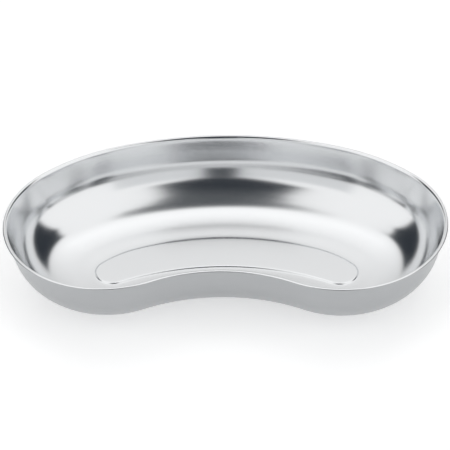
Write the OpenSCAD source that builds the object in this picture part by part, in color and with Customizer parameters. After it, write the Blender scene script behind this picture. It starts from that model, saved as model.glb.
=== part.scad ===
// Kidney dish (emesis basin) deep-drawn from one blank of stainless steel sheet.
// Origin: middle of the rim's bounding rectangle, on the plane that the dish stands on.
// +X runs along the length, +Y from the concave front towards the convex back, +Z up.

/* [Rim outline] */
// Overall length over the rim
length = 250; // [244:1:256]
// Overall width over the rim, from the front lobes to the back
width = 140; // [137:1:143]
// How far the concave front sits back from the two front lobes
notch_depth = 15; // [12:1:18]
// Radius of the long curve of the back
back_r = 195; // [190:1:200]
// Radius of the shoulders between the back and the ends
shoulder_r = 109; // [105:1:113]
// Radius of the two round ends
end_r = 60; // [58:1:62]

/* [Section] */
// Overall height
height = 40; // [38:1:45]
// Thickness of the steel sheet
sheet_t = 0.8; // [0.6:0.1:1]
// Radius of the rolled lip, at mid sheet
lip_r = 1.2; // [1:0.1:1.3]
// How far the lip rolls down past level, in degrees
lip_roll = 35; // [20:5:40]
// Slope of the wall away from vertical, in degrees
wall_slope = 10.5; // [9:0.5:12]
// Outside radius of the curve at the foot of the wall
wall_curve_r = 31; // [29:0.5:33]
// Outside radius of the gentle curve towards the floor
floor_curve_r = 72; // [66:1:78]
// Slope, away from vertical, at which the first curve meets the second, in degrees
curve_meeting = 78; // [76:0.5:80]

/* [Floor] */
// Slope of the floor's outer part, which falls from the curve to the foot, in degrees
fall_slope = 3.5; // [2.5:0.5:4.5]
// Width of the part that falls to the foot
fall_w = 8.8; // [8:0.1:9.5]
// Width of the flat ring that the dish stands on
foot_ring_w = 1.5; // [1.2:0.1:2]
// Width of the step between the ring and the raised middle of the floor
step_w = 1.6; // [1.4:0.1:2]
// Rise of the middle of the floor above the ring
step_h = 0.5; // [0.3:0.1:0.7]

/* [Drawing] */
// How far each face of the drawn sheet falls back at the shoulders, the front and the floor
draw_thinning = 0.02; // [0.01:0.01:0.03]
// How far one stretch of the pressing runs into the next, along the rim
stretch_lap = 0.3; // [0.2:0.1:0.4]

/* [Hidden] */
$fn = 180;
steel = [0.80, 0.81, 0.82];

// Rim outline, seen from above: a chain of tangent arcs. Each angle is measured from +Y.
// The centres of the back, a shoulder and an end form a two-link chain whose links are the
// differences of the radii, so length and width give both link angles.
end_x = length / 2 - end_r;
end_to_back_y = back_r + end_r - width;
back_link = back_r - shoulder_r;
shoulder_link = shoulder_r - end_r;
chain = norm([end_x, end_to_back_y]);
chain_angle = atan2(end_x, end_to_back_y);
back_link_turn = acos((pow(back_link, 2) + pow(chain, 2) - pow(shoulder_link, 2)) / (2 * back_link * chain));
back_angle = chain_angle - back_link_turn;
back_join = back_link * compass(back_angle);
shoulder_angle = atan2(end_x - back_join.x, end_to_back_y - back_join.y);

// The concave front is one arc that is tangent to both end arcs.
notch_r = (pow(end_x, 2) + pow(notch_depth, 2)) / (2 * notch_depth) - end_r;
notch_to_end_y = end_r + notch_r - notch_depth;
notch_angle = atan2(end_x, notch_to_end_y);

// Arc centres in the part's frame. The end centres lie end_r behind the front lobes.
end_y = end_r - width / 2;
back_centre = [0, end_y - end_to_back_y];
shoulder_centre = back_centre + back_join;
end_centre = [end_x, end_y];
notch_centre = [0, end_y - notch_to_end_y];

// Middle line of the section, with the distance inwards from the rim's edge as x.
half_t = sheet_t / 2;
lip_centre = [(lip_r + half_t) * sin(lip_roll), height - half_t - lip_r];
wall_curve_mid_r = wall_curve_r - half_t;
floor_curve_mid_r = floor_curve_r - half_t;
curve_r_change = floor_curve_r - wall_curve_r;
floor_curve_z = floor_curve_r * cos(fall_slope) + fall_w * tan(fall_slope);
floor_curve_x = (lip_centre * unit(wall_slope) + lip_r + wall_curve_mid_r
    + curve_r_change * cos(curve_meeting - wall_slope)
    - floor_curve_z * sin(wall_slope)) / cos(wall_slope);
floor_curve_centre = [floor_curve_x, floor_curve_z];
wall_curve_centre = floor_curve_centre - curve_r_change * unit(curve_meeting);
step_slope = 2 * atan(step_h / step_w);
step_r = step_w / (2 * sin(step_slope));
ring_start = floor_curve_x - floor_curve_r * sin(fall_slope) + fall_w;
step_start = ring_start + foot_ring_w;
step_end = step_start + step_w;
panel_edge = step_end + 1;
panel_lap = 0.5;

// The directions at an angle from the first axis, and at an angle from the second.
function unit(a) = [cos(a), sin(a)];
function compass(a) = [sin(a), cos(a)];
// The angle that a run along an arc spans.
function turn(run, r) = run / r * 180 / PI;
// A list from its last item to its first.
function backwards(list) = [for (i = [len(list) - 1 : -1 : 0]) list[i]];

// Stations along a bend of the middle line, each a point and its normal into the bowl.
// The side is 1 where the bend's centre is under the sheet and -1 where it is in the bowl.
function bend(centre, r, side, from, to, steps) = [
    for (i = [0 : steps])
        let (a = from + (to - from) * i / steps)
            [centre + side * r * unit(a), unit(a)]
];

// Stations from the lip's edge to the floor, both ends drawn in by the same trim.
function stations(trim) = concat(
    bend(lip_centre, lip_r, 1, 90 + lip_roll - turn(trim, lip_r), wall_slope, 8),
    bend(wall_curve_centre, wall_curve_mid_r, -1, wall_slope, curve_meeting, 14),
    bend(floor_curve_centre, floor_curve_mid_r, -1, curve_meeting, 90 - fall_slope, 4),
    [[[ring_start, half_t], [0, 1]]],
    bend([step_start, half_t + step_r], step_r, -1, 90, 90 + step_slope, 4),
    bend([step_end, half_t + step_h - step_r], step_r, 1, 90 + step_slope, 90, 4),
    [[[panel_edge - trim, half_t + step_h], [0, 1]]]
);

// The sheet's section, with each of its faces set back by the trim.
module sheet_section(trim) {
    half = half_t - trim;
    path = stations(trim);
    polygon(concat(
        [for (s = path) s[0] + half * s[1]],
        backwards([for (s = path) s[0] - half * s[1]])
    ));
}

// The section swept round a convex arc of the rim, between two compass angles.
module convex_sweep(centre, r, from, to, trim) {
    translate([centre.x, centre.y, 0])
        rotate(90 - to)
            rotate_extrude(angle = to - from)
                translate([r, 0]) mirror([1, 0]) sheet_section(trim);
}

// The section swept round the concave front, into both ends.
module notch_sweep(trim) {
    half_turn = notch_angle + turn(stretch_lap, notch_r);
    translate([notch_centre.x, notch_centre.y, 0])
        rotate(90 - half_turn)
            rotate_extrude(angle = 2 * half_turn)
                translate([notch_r, 0]) sheet_section(trim);
}

// The wall, ring and step on one side of the dish. The shoulder runs into its neighbours.
module side_sweep() {
    lap = turn(stretch_lap, shoulder_r);
    convex_sweep(shoulder_centre, shoulder_r, back_angle - lap, shoulder_angle + lap, draw_thinning);
    convex_sweep(end_centre, end_r, shoulder_angle, 180 + notch_angle, 0);
}

// Points of an arc of the outline, between two compass angles.
function arc(centre, r, from, to, steps) = [
    for (i = [0 : steps]) centre + r * compass(from + (to - from) * i / steps)
];

// The right half of the floor panel's edge, from the front to the back.
function half_panel(inset) = concat(
    arc(notch_centre, notch_r + inset, 0, notch_angle, 12),
    arc(end_centre, end_r - inset, 180 + notch_angle, shoulder_angle, 12),
    arc(shoulder_centre, shoulder_r - inset, shoulder_angle, back_angle, 6),
    arc(back_centre, back_r - inset, back_angle, 0, 12)
);

// The flat middle of the floor, which runs into the swept sheet all round.
module floor_panel(trim) {
    half = half_panel(panel_edge - panel_lap);
    translate([0, 0, step_h + trim])
        linear_extrude(sheet_t - 2 * trim)
            polygon(concat(half, backwards([for (p = half) [-p.x, p.y]])));
}

// The dish: lip, wall, foot ring and floor are one continuous pressing.
module pressed_dish() {
    color(steel) union() {
        convex_sweep(back_centre, back_r, -back_angle, back_angle, 0);
        side_sweep();
        mirror([1, 0, 0]) side_sweep();
        notch_sweep(draw_thinning);
        floor_panel(2 * draw_thinning);
    }
}

pressed_dish();
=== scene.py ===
"""A stainless steel kidney dish on a pale floor in a plain soft studio."""
import math

import bmesh
import bpy
from mathutils import Matrix, Vector


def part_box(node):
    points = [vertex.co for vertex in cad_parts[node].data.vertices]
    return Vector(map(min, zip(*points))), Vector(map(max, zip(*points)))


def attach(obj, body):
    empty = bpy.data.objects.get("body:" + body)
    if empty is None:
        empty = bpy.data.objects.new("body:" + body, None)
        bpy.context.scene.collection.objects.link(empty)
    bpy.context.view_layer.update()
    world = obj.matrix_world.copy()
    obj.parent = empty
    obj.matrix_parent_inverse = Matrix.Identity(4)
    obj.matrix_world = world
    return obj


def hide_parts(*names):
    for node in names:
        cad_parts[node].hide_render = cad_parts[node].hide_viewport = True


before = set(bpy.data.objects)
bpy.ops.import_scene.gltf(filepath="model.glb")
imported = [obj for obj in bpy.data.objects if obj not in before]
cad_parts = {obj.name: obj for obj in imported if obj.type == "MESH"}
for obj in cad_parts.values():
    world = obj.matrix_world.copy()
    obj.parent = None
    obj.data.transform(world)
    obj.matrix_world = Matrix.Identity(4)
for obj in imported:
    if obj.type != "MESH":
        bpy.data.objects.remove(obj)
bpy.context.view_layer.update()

MM = 0.001
QUARTER = math.pi / 2

# The dish's driving sizes, in metres. The overall box comes from the frame.
NODE = "pressed_dish"
LOW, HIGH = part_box(NODE)
LENGTH = HIGH.x - LOW.x
WIDTH = HIGH.y - LOW.y
HEIGHT = HIGH.z - LOW.z
NOTCH_DEPTH = 15 * MM
BACK_R = 195 * MM
SHOULDER_R = 109 * MM
END_R = 60 * MM
SHEET = 0.8 * MM
HALF_SHEET = SHEET / 2
EDGE_ROUND = 0.25 * MM
LIP_R = 1.2 * MM
LIP_ROLL = math.radians(35)
WALL_SLOPE = math.radians(10.5)
WALL_CURVE_R = 31 * MM
FLOOR_CURVE_R = 72 * MM
CURVE_MEETING = math.radians(78)
FALL_SLOPE = math.radians(3.5)
FALL_WIDTH = 8.8 * MM
FOOT_RING = 1.5 * MM
STEP_WIDTH = 1.6 * MM
STEP_RISE = 0.5 * MM

# Where the bend into the flat foot ring ends, and how far the swept floor panel runs past the step.
FOOT_BEND = 0.2 * MM
PANEL_MARGIN = 5 * MM

# How finely each arc of half the rim is cut: back, shoulder, end to its tip, end to the front, front.
RIM_STEPS = (50, 34, 36, 70, 50)
TIP = sum(RIM_STEPS[:3])

# How finely each part of the section is cut.
EDGE_STEPS = 4
ROLL_STEPS = 16
WALL_STEPS = 5
WALL_CURVE_STEPS = 28
FLOOR_CURVE_STEPS = 10
FALL_STEPS = 4
STEP_BEND_STEPS = 8
PANEL_STEPS = 4

# Points nearer than this are one point where two swept faces meet.
MERGE = 0.01 * MM

# The polish of the steels: from the floor's roughness at the low level to the wall's at the high one.
FLOOR_LEVEL = 1 * MM
WALL_LEVEL = 8 * MM

# The drawing lines in the steel, as cells of the noise per metre along the rim and down the section.
LINES_ALONG = 60
LINES_DOWN = 3000

# The camera's direction from the dish (azimuth from -Y towards +X), its distance, target and tilt, in
# radians and metres, its lens in millimetres, and how near it starts to see.
CAMERA_AZIMUTH = 0.055
CAMERA_ELEVATION = math.radians(39.32)
CAMERA_DISTANCE = 0.9931
CAMERA_TARGET = Vector((0.0004, -0.0151, HEIGHT))
CAMERA_TILT = -0.0336
CAMERA_LENS = 142.1
CAMERA_NEAR = 0.05

# Half the width of the floor.
FLOOR_REACH = 2

# The light of the studio: the tent, the apron, and the dark beyond the tent, low down and overhead.
TENT = (1.06, 1.06, 1.06)
APRON = (0.77, 0.78, 0.79)
NEAR_DARK = (0.03, 0.036, 0.045)
HIGH_DARK = (0.085, 0.092, 0.1)

# The studio's shapes, as elevations and as turns from behind the camera, in degrees. A blur is how far
# a shape's edge fades to either side. A slope is a rise in elevation per degree of turn.
OVERHEAD = 90
BACK_FROM = 135
BACK_BLUR = 30
BACK_LIGHT = ((0, 0.95), (22, 0.78), (30, 0.74), (38, 0.88), (45, 1), (60, 1.25), (70, 1.2))
APRON_AXIS = -8
APRON_HALF_WIDTH = 39
APRON_HEAD = 30
APRON_BLUR = 4
STAND_AXIS = -3
STAND_HALF_WIDTH = 5.3
STAND_HEAD = 31
STAND_BLUR = 1.5
OPENING_AXIS = -6.5
OPENING_HALF_WIDTHS = ((0, 25), (50, 25), (60, 27), (66, 30), (72, 38), (78, 53), (82, 90))
OPENING_BLUR = 3.5
SILL = 28.5
SILL_SLOPE = 0.45
OPEN_TOP = 79
OPEN_TOP_BLUR = 4
HIGH_DARK_FROM = 62
HIGH_DARK_BLUR = 16
FLAG_AXIS = -2.5
FLAG_FROM = 95
FLAG_PEAK_TURN = 115.5
FLAG_PEAK = 57
FLAG_HEAD_SLOPE = -0.62
FLAG_FOOT = -44.6
FLAG_FOOT_SLOPE = 0.48
FLAG_BLUR = 3.4


def compass(angle):
    """The direction at an angle from +Y towards +X."""
    return Vector((math.sin(angle), math.cos(angle)))


def unit(angle):
    """The direction at an angle from the first axis towards the second."""
    return Vector((math.cos(angle), math.sin(angle)))


def rim_arcs():
    """The right half of the rim as tangent arcs, from the middle of the back round the end to the
    middle of the front: (centre, radius, side, from, to). The side is 1 where the dish lies towards
    the centre."""
    end_x = LENGTH / 2 - END_R
    end_y = END_R - WIDTH / 2
    to_back_y = BACK_R + END_R - WIDTH
    back_link = BACK_R - SHOULDER_R
    shoulder_link = SHOULDER_R - END_R
    chain = math.hypot(end_x, to_back_y)
    turn = math.acos((back_link**2 + chain**2 - shoulder_link**2) / (2 * back_link * chain))
    back_angle = math.atan2(end_x, to_back_y) - turn
    join = back_link * compass(back_angle)
    shoulder_angle = math.atan2(end_x - join.x, to_back_y - join.y)
    notch_r = (end_x**2 + NOTCH_DEPTH**2) / (2 * NOTCH_DEPTH) - END_R
    to_notch_y = END_R + notch_r - NOTCH_DEPTH
    notch_angle = math.atan2(end_x, to_notch_y)
    back = Vector((0, end_y - to_back_y))
    shoulder = back + join
    end = Vector((end_x, end_y))
    notch = Vector((0, end_y - to_notch_y))
    return [
        (back, BACK_R, 1, 0, back_angle),
        (shoulder, SHOULDER_R, 1, back_angle, shoulder_angle),
        (end, END_R, 1, shoulder_angle, QUARTER),
        (end, END_R, 1, QUARTER, math.pi + notch_angle),
        (notch, notch_r, -1, notch_angle, 0),
    ]


def rim_stations():
    """Points of the rim's outer edge with their inward directions and distances along it, all the way
    round from the middle of the back, and the whole distance."""
    right = []
    along = 0.0
    for (centre, radius, side, start, stop), steps in zip(rim_arcs(), RIM_STEPS):
        step = abs(stop - start) * radius / steps
        for i in range(steps):
            out = compass(start + (stop - start) * i / steps)
            right.append((centre + radius * out, -side * out, along))
            along += step
    front = centre + radius * compass(stop)
    middle = [(front, -side * compass(stop), along)]
    around = 2 * along
    left = [(Vector((-p.x, p.y)), Vector((-n.x, n.y)), around - a) for p, n, a in reversed(right[1:])]
    return right + middle + left, around


def bend(centre, radius, side, start, stop, steps):
    """Middle-line stations round a bend: (point, normal into the bowl). The side is 1 where the bend's
    centre is under the sheet and -1 where it is in the bowl."""
    angles = [start + (stop - start) * i / steps for i in range(steps + 1)]
    return [(centre + side * radius * unit(a), unit(a)) for a in angles]


def between(start, stop, steps):
    """The points that cut a straight run into steps, without its ends."""
    return [start.lerp(stop, i / steps) for i in range(1, steps)]


def lip():
    """The centre of the rolled lip, and the angle at which its sheet meets the rounded trimmed edge."""
    outer_r = LIP_R + HALF_SHEET
    centre = Vector((outer_r * math.sin(LIP_ROLL), HEIGHT - HALF_SHEET - LIP_R))
    return centre, QUARTER + LIP_ROLL - EDGE_ROUND / outer_r


def curve_centres():
    """The centres of the curve at the foot of the wall and of the gentle curve towards the floor. The
    first meets the straight wall, and both meet at one slope."""
    lip_centre = lip()[0]
    wall_r = WALL_CURVE_R - HALF_SHEET
    r_change = FLOOR_CURVE_R - WALL_CURVE_R
    floor_height = FLOOR_CURVE_R * math.cos(FALL_SLOPE) + FALL_WIDTH * math.tan(FALL_SLOPE)
    reach = lip_centre.dot(unit(WALL_SLOPE)) + LIP_R + wall_r
    reach += r_change * math.cos(CURVE_MEETING - WALL_SLOPE) - floor_height * math.sin(WALL_SLOPE)
    floor_centre = Vector((reach / math.cos(WALL_SLOPE), floor_height))
    return floor_centre - r_change * unit(CURVE_MEETING), floor_centre


def middle_line():
    """The section's middle line from the lip's edge to the floor panel, as stations. x runs inwards
    from the rim's edge."""
    up = Vector((0, 1))
    lip_centre, lip_end = lip()
    wall_centre, floor_centre = curve_centres()
    wall_r = WALL_CURVE_R - HALF_SHEET
    floor_r = FLOOR_CURVE_R - HALF_SHEET
    step_slope = 2 * math.atan(STEP_RISE / STEP_WIDTH)
    step_r = STEP_WIDTH / (2 * math.sin(step_slope))
    ring_start = Vector((floor_centre.x - FLOOR_CURVE_R * math.sin(FALL_SLOPE) + FALL_WIDTH, HALF_SHEET))
    step_start = ring_start.x + FOOT_RING
    step_end = step_start + STEP_WIDTH
    step_foot = Vector((step_start, HALF_SHEET + step_r))
    step_top = Vector((step_end, HALF_SHEET + STEP_RISE - step_r))

    roll = bend(lip_centre, LIP_R, 1, lip_end, WALL_SLOPE, ROLL_STEPS)
    curve = bend(wall_centre, wall_r, -1, WALL_SLOPE, CURVE_MEETING, WALL_CURVE_STEPS)
    curve += bend(floor_centre, floor_r, -1, CURVE_MEETING, QUARTER - FALL_SLOPE, FLOOR_CURVE_STEPS)[1:]
    curve_end, curve_end_normal = curve[-1]
    wall = [(p, unit(WALL_SLOPE)) for p in between(roll[-1][0], curve[0][0], WALL_STEPS)]
    fall = [(p, curve_end_normal) for p in between(curve_end, ring_start, FALL_STEPS)]
    ring = [(ring_start + Vector((FOOT_BEND, 0)), up)]
    step = bend(step_foot, step_r, -1, QUARTER, QUARTER + step_slope, STEP_BEND_STEPS)
    step += bend(step_top, step_r, 1, QUARTER + step_slope, QUARTER, STEP_BEND_STEPS)[1:]
    panel = [
        (Vector((step_end + PANEL_MARGIN * i / PANEL_STEPS, HALF_SHEET + STEP_RISE)), up)
        for i in range(1, PANEL_STEPS + 1)
    ]
    return roll + wall + curve + fall + ring + step + panel


def edge_line():
    """The rounded trimmed edge of the lip, from its upper face to its lower face."""
    centre, end = lip()
    corners = (
        (LIP_R + HALF_SHEET - EDGE_ROUND, end),
        (LIP_R - HALF_SHEET + EDGE_ROUND, end + QUARTER),
    )
    line = []
    for radius, start in corners:
        corner = centre + radius * unit(end)
        for i in range(EDGE_STEPS + 1):
            line.append(corner + EDGE_ROUND * unit(start + QUARTER * i / EDGE_STEPS))
    return line


def distances(line):
    """How far each point of a section line is along it."""
    total = [0.0]
    for a, b in zip(line, line[1:]):
        total.append(total[-1] + (b - a).length)
    return total


def dish_mesh():
    """The whole pressing. Material 0 is the face in the bowl, and 1 is the outside and the trimmed
    edge. The UVs are metres along the rim and metres down the section."""
    stations, around = rim_stations()
    count = len(stations)
    along = [a for p, n, a in stations] + [around]
    path = middle_line()
    inner = [p + HALF_SHEET * n for p, n in path]
    outer = [p - HALF_SHEET * n for p, n in path]
    bm = bmesh.new()
    uv = bm.loops.layers.uv.new("rim_and_section")

    def vertices(q):
        """Vertices all the way round the rim, at one point of the section."""
        return [bm.verts.new((p.x + q.x * n.x, p.y + q.x * n.y, q.y)) for p, n, a in stations]

    def sweep(line, material):
        """Faces that follow a line of the section round the rim. Returns the last ring of vertices."""
        rings = [vertices(q) for q in line]
        down = distances(line)
        for i in range(len(line) - 1):
            for j in range(count):
                k = (j + 1) % count
                face = bm.faces.new((rings[i][j], rings[i][k], rings[i + 1][k], rings[i + 1][j]))
                face.material_index = material
                near, far = along[j], along[j + 1]
                top, foot = down[i], down[i + 1]
                for loop, corner in zip(face.loops, ((near, top), (far, top), (far, foot), (near, foot))):
                    loop[uv].uv = corner
        return rings[-1]

    def fill(ring, material):
        """Closes the floor panel with a ladder of strips across it, from one tip to the other."""
        rungs = [(ring[TIP],)]
        rungs += [(ring[(TIP - i) % count], ring[(TIP + i) % count]) for i in range(1, count // 2)]
        rungs += [(ring[(TIP + count // 2) % count],)]
        for a, b in zip(rungs, rungs[1:]):
            face = bm.faces.new(a + b[::-1])
            face.material_index = material
            for loop in face.loops:
                loop[uv].uv = (loop.vert.co.x, loop.vert.co.y)

    fill(sweep(inner, 0), 0)
    fill(sweep(outer, 1), 1)
    sweep(edge_line(), 1)
    bmesh.ops.remove_doubles(bm, verts=bm.verts, dist=MERGE)
    bmesh.ops.recalc_face_normals(bm, faces=bm.faces)
    for face in bm.faces:
        face.smooth = True
    mesh = bpy.data.meshes.new("kidney_dish")
    bm.to_mesh(mesh)
    bm.free()
    return mesh


def steel(name, colour, wall_roughness, floor_roughness, spread, grain):
    """Bare steel that turns from one roughness to another towards the floor. Fine lines drawn along
    the rim vary its roughness by the spread and stand as high as the grain."""
    mat = bpy.data.materials.new(name)
    mat.use_nodes = True
    tree = mat.node_tree
    shader = tree.nodes["Principled BSDF"]
    shader.inputs["Base Color"].default_value = (*colour, 1)
    shader.inputs["Metallic"].default_value = 1

    place = tree.nodes.new("ShaderNodeUVMap")
    place.uv_map = "rim_and_section"
    stretch = tree.nodes.new("ShaderNodeMapping")
    stretch.inputs["Scale"].default_value = (LINES_ALONG, LINES_DOWN, 1)
    lines = tree.nodes.new("ShaderNodeTexNoise")
    lines.inputs["Scale"].default_value = 1
    lines.inputs["Detail"].default_value = 2
    vary = tree.nodes.new("ShaderNodeMapRange")
    vary.inputs["To Min"].default_value = -spread
    vary.inputs["To Max"].default_value = spread
    bump = tree.nodes.new("ShaderNodeBump")
    bump.inputs["Distance"].default_value = grain

    point = tree.nodes.new("ShaderNodeTexCoord")
    axes = tree.nodes.new("ShaderNodeSeparateXYZ")
    level = tree.nodes.new("ShaderNodeMapRange")
    level.interpolation_type = "SMOOTHSTEP"
    level.inputs["From Min"].default_value = FLOOR_LEVEL
    level.inputs["From Max"].default_value = WALL_LEVEL
    level.inputs["To Min"].default_value = floor_roughness
    level.inputs["To Max"].default_value = wall_roughness
    total = tree.nodes.new("ShaderNodeMath")

    tree.links.new(place.outputs["UV"], stretch.inputs["Vector"])
    tree.links.new(stretch.outputs["Vector"], lines.inputs["Vector"])
    tree.links.new(lines.outputs["Fac"], vary.inputs["Value"])
    tree.links.new(lines.outputs["Fac"], bump.inputs["Height"])
    tree.links.new(bump.outputs["Normal"], shader.inputs["Normal"])
    tree.links.new(point.outputs["Object"], axes.inputs["Vector"])
    tree.links.new(axes.outputs["Z"], level.inputs["Value"])
    tree.links.new(level.outputs["Result"], total.inputs[0])
    tree.links.new(vary.outputs["Result"], total.inputs[1])
    tree.links.new(total.outputs["Value"], shader.inputs["Roughness"])
    return mat


def satin_steel():
    """The bowl's face, which is smoother on the wall than on the floor."""
    return steel(
        "satin_steel",
        colour=(0.80, 0.81, 0.82),
        wall_roughness=0.15,
        floor_roughness=0.2,
        spread=0.04,
        grain=0.003 * MM,
    )


def brushed_steel():
    """The outside, which is duller and more strongly lined."""
    return steel(
        "brushed_steel",
        colour=(0.44, 0.45, 0.46),
        wall_roughness=0.33,
        floor_roughness=0.33,
        spread=0.1,
        grain=0.02 * MM,
    )


def make_dish():
    mesh = dish_mesh()
    mesh.materials.append(satin_steel())
    mesh.materials.append(brushed_steel())
    dish = bpy.data.objects.new("kidney_dish", mesh)
    bpy.context.scene.collection.objects.link(dish)
    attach(dish, "root")
    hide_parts(NODE)


def make_camera():
    flat = math.cos(CAMERA_ELEVATION)
    back = Vector((
        math.sin(CAMERA_AZIMUTH) * flat,
        -math.cos(CAMERA_AZIMUTH) * flat,
        math.sin(CAMERA_ELEVATION),
    ))
    data = bpy.data.cameras.new("camera")
    data.lens = CAMERA_LENS
    data.clip_start = CAMERA_NEAR
    camera = bpy.data.objects.new("camera", data)
    aim = (-back).to_track_quat("-Z", "Y").to_matrix() @ Matrix.Rotation(CAMERA_TILT, 3, "Z")
    camera.matrix_world = Matrix.Translation(CAMERA_TARGET + back * CAMERA_DISTANCE) @ aim.to_4x4()
    bpy.context.scene.collection.objects.link(camera)
    bpy.context.scene.camera = camera


def pale_floor():
    """A matt white that also glows, so that the dish's shadow on it stays pale."""
    mat = bpy.data.materials.new("pale_floor")
    mat.use_nodes = True
    shader = mat.node_tree.nodes["Principled BSDF"]
    shader.inputs["Base Color"].default_value = (0.9, 0.9, 0.9, 1)
    shader.inputs["Roughness"].default_value = 1
    shader.inputs["Specular IOR Level"].default_value = 0
    shader.inputs["Emission Color"].default_value = (1, 1, 1, 1)
    shader.inputs["Emission Strength"].default_value = 0.42
    return mat


def make_floor():
    bm = bmesh.new()
    bmesh.ops.create_grid(bm, x_segments=1, y_segments=1, size=FLOOR_REACH)
    mesh = bpy.data.meshes.new("floor")
    bm.to_mesh(mesh)
    bm.free()
    mesh.materials.append(pale_floor())
    floor = bpy.data.objects.new("floor", mesh)
    bpy.context.scene.collection.objects.link(floor)


class Dome:
    """Shader nodes that paint the studio's dome. Angles are in degrees. The turn runs from 0 behind
    the camera to 180 at the back, and is positive towards +X."""

    def __init__(self, tree):
        self.tree = tree
        direction = tree.nodes.new("ShaderNodeTexCoord").outputs["Generated"]
        axes = tree.nodes.new("ShaderNodeSeparateXYZ")
        tree.links.new(direction, axes.inputs["Vector"])
        x, y, z = axes.outputs
        turn = self.math("DEGREES", self.math("ARCTAN2", x, self.math("MULTIPLY", y, -1)))
        self.turn = self.math("SUBTRACT", turn, math.degrees(CAMERA_AZIMUTH))
        self.elevation = self.math("DEGREES", self.math("ARCSINE", z))

    def feed(self, socket, value):
        """Sets a socket to a number or a colour, or links it to another socket."""
        if isinstance(value, (int, float)):
            socket.default_value = value
        elif isinstance(value, tuple):
            socket.default_value = (*value, 1)
        else:
            self.tree.links.new(value, socket)

    def math(self, operation, *values):
        """The result of a math node on the values."""
        node = self.tree.nodes.new("ShaderNodeMath")
        node.operation = operation
        for socket, value in zip(node.inputs, values):
            self.feed(socket, value)
        return node.outputs[0]

    def away(self, axis):
        """How far a direction turns from an axis, to either side."""
        return self.math("ABSOLUTE", self.math("SUBTRACT", self.turn, axis))

    def above(self, low):
        """How far a direction is above an elevation."""
        return self.math("SUBTRACT", self.elevation, low)

    def below(self, high):
        """How far a direction is below an elevation."""
        return self.math("SUBTRACT", high, self.elevation)

    def within(self, half_width, away):
        """How far a direction is inside a half width, from how far it turns away."""
        return self.math("SUBTRACT", half_width, away)

    def beyond(self, limit, away):
        """How far a direction is past a limit, from how far it turns away."""
        return self.math("SUBTRACT", away, limit)

    def slope(self, value, factor, base):
        """A value that rises from the base by the factor."""
        return self.math("MULTIPLY_ADD", value, factor, base)

    def patch(self, blur, *reaches):
        """1 inside a patch and 0 outside it. Each reach is how far inside one edge a direction lies."""
        reach = reaches[0]
        for other in reaches[1:]:
            reach = self.math("MINIMUM", reach, other)
        node = self.tree.nodes.new("ShaderNodeMapRange")
        node.interpolation_type = "SMOOTHSTEP"
        node.inputs["From Min"].default_value = -blur
        node.inputs["From Max"].default_value = blur
        self.feed(node.inputs["Value"], reach)
        return node.outputs["Result"]

    def profile(self, stops):
        """A value that changes with elevation: (elevation, value) at each stop, and straight between."""
        node = self.tree.nodes.new("ShaderNodeValToRGB")
        ramp = node.color_ramp
        while len(ramp.elements) < len(stops):
            ramp.elements.new(1)
        for element, (elevation, value) in zip(ramp.elements, stops):
            element.position = elevation / OVERHEAD
            element.color = (value, value, value, 1)
        self.feed(node.inputs["Fac"], self.math("DIVIDE", self.elevation, OVERHEAD))
        return node.outputs["Color"]

    def mix(self, factor, a, b):
        """The colour a where the factor is 0 and b where it is 1."""
        node = self.tree.nodes.new("ShaderNodeMix")
        node.data_type = "RGBA"
        self.feed(node.inputs["Factor"], factor)
        for name, value in (("A", a), ("B", b)):
            self.feed(next(i for i in node.inputs if i.name == name and i.type == "RGBA"), value)
        return next(o for o in node.outputs if o.type == "RGBA")

    def add_back(self, lit):
        """The back of the tent, greyer low down and lighter higher up."""
        behind = self.patch(BACK_BLUR, self.beyond(BACK_FROM, self.away(0)))
        return self.mix(behind, lit, self.profile(BACK_LIGHT))

    def add_apron(self, lit):
        """The greyer cloth under the camera."""
        inside = self.within(APRON_HALF_WIDTH, self.away(APRON_AXIS))
        apron = self.patch(APRON_BLUR, self.below(APRON_HEAD), inside)
        return self.mix(apron, lit, APRON)

    def add_stand(self, lit):
        """The narrow dark stand that rises over the apron to the opening."""
        inside = self.within(STAND_HALF_WIDTH, self.away(STAND_AXIS))
        stand = self.patch(STAND_BLUR, self.below(STAND_HEAD), inside)
        return self.mix(stand, lit, NEAR_DARK)

    def add_opening(self, lit):
        """The opening behind the camera, whose sill is lowest at the stand, and the open top."""
        sill = self.slope(self.away(STAND_AXIS), SILL_SLOPE, SILL)
        inside = self.within(self.profile(OPENING_HALF_WIDTHS), self.away(OPENING_AXIS))
        opening = self.patch(OPENING_BLUR, self.above(sill), inside)
        top = self.patch(OPEN_TOP_BLUR, self.above(OPEN_TOP))
        dark = self.mix(self.patch(HIGH_DARK_BLUR, self.above(HIGH_DARK_FROM)), NEAR_DARK, HIGH_DARK)
        return self.mix(self.math("MAXIMUM", opening, top), lit, dark)

    def add_flags(self, lit):
        """A black flag on either side of the back, with a peaked head and a foot that rises backwards."""
        side = self.away(FLAG_AXIS)
        off_peak = self.math("ABSOLUTE", self.math("SUBTRACT", side, FLAG_PEAK_TURN))
        head = self.slope(off_peak, FLAG_HEAD_SLOPE, FLAG_PEAK)
        foot = self.slope(side, FLAG_FOOT_SLOPE, FLAG_FOOT)
        flag = self.patch(FLAG_BLUR, self.above(foot), self.below(head), self.beyond(FLAG_FROM, side))
        return self.mix(flag, lit, NEAR_DARK)


def make_light():
    """A white tent with a greyer apron under the camera. The tent is open behind the camera and over
    the top, a dark stand rises to the opening, and a black flag leans into the tent on either side of
    the back."""
    world = bpy.data.worlds.new("studio")
    world.use_nodes = True
    tree = world.node_tree
    dome = Dome(tree)
    lit = dome.add_back(TENT)
    lit = dome.add_apron(lit)
    lit = dome.add_stand(lit)
    lit = dome.add_opening(lit)
    lit = dome.add_flags(lit)
    tree.links.new(lit, tree.nodes["Background"].inputs["Color"])
    bpy.context.scene.world = world
    bpy.context.scene.view_settings.view_transform = "Standard"


make_camera()
make_dish()
make_floor()
make_light()
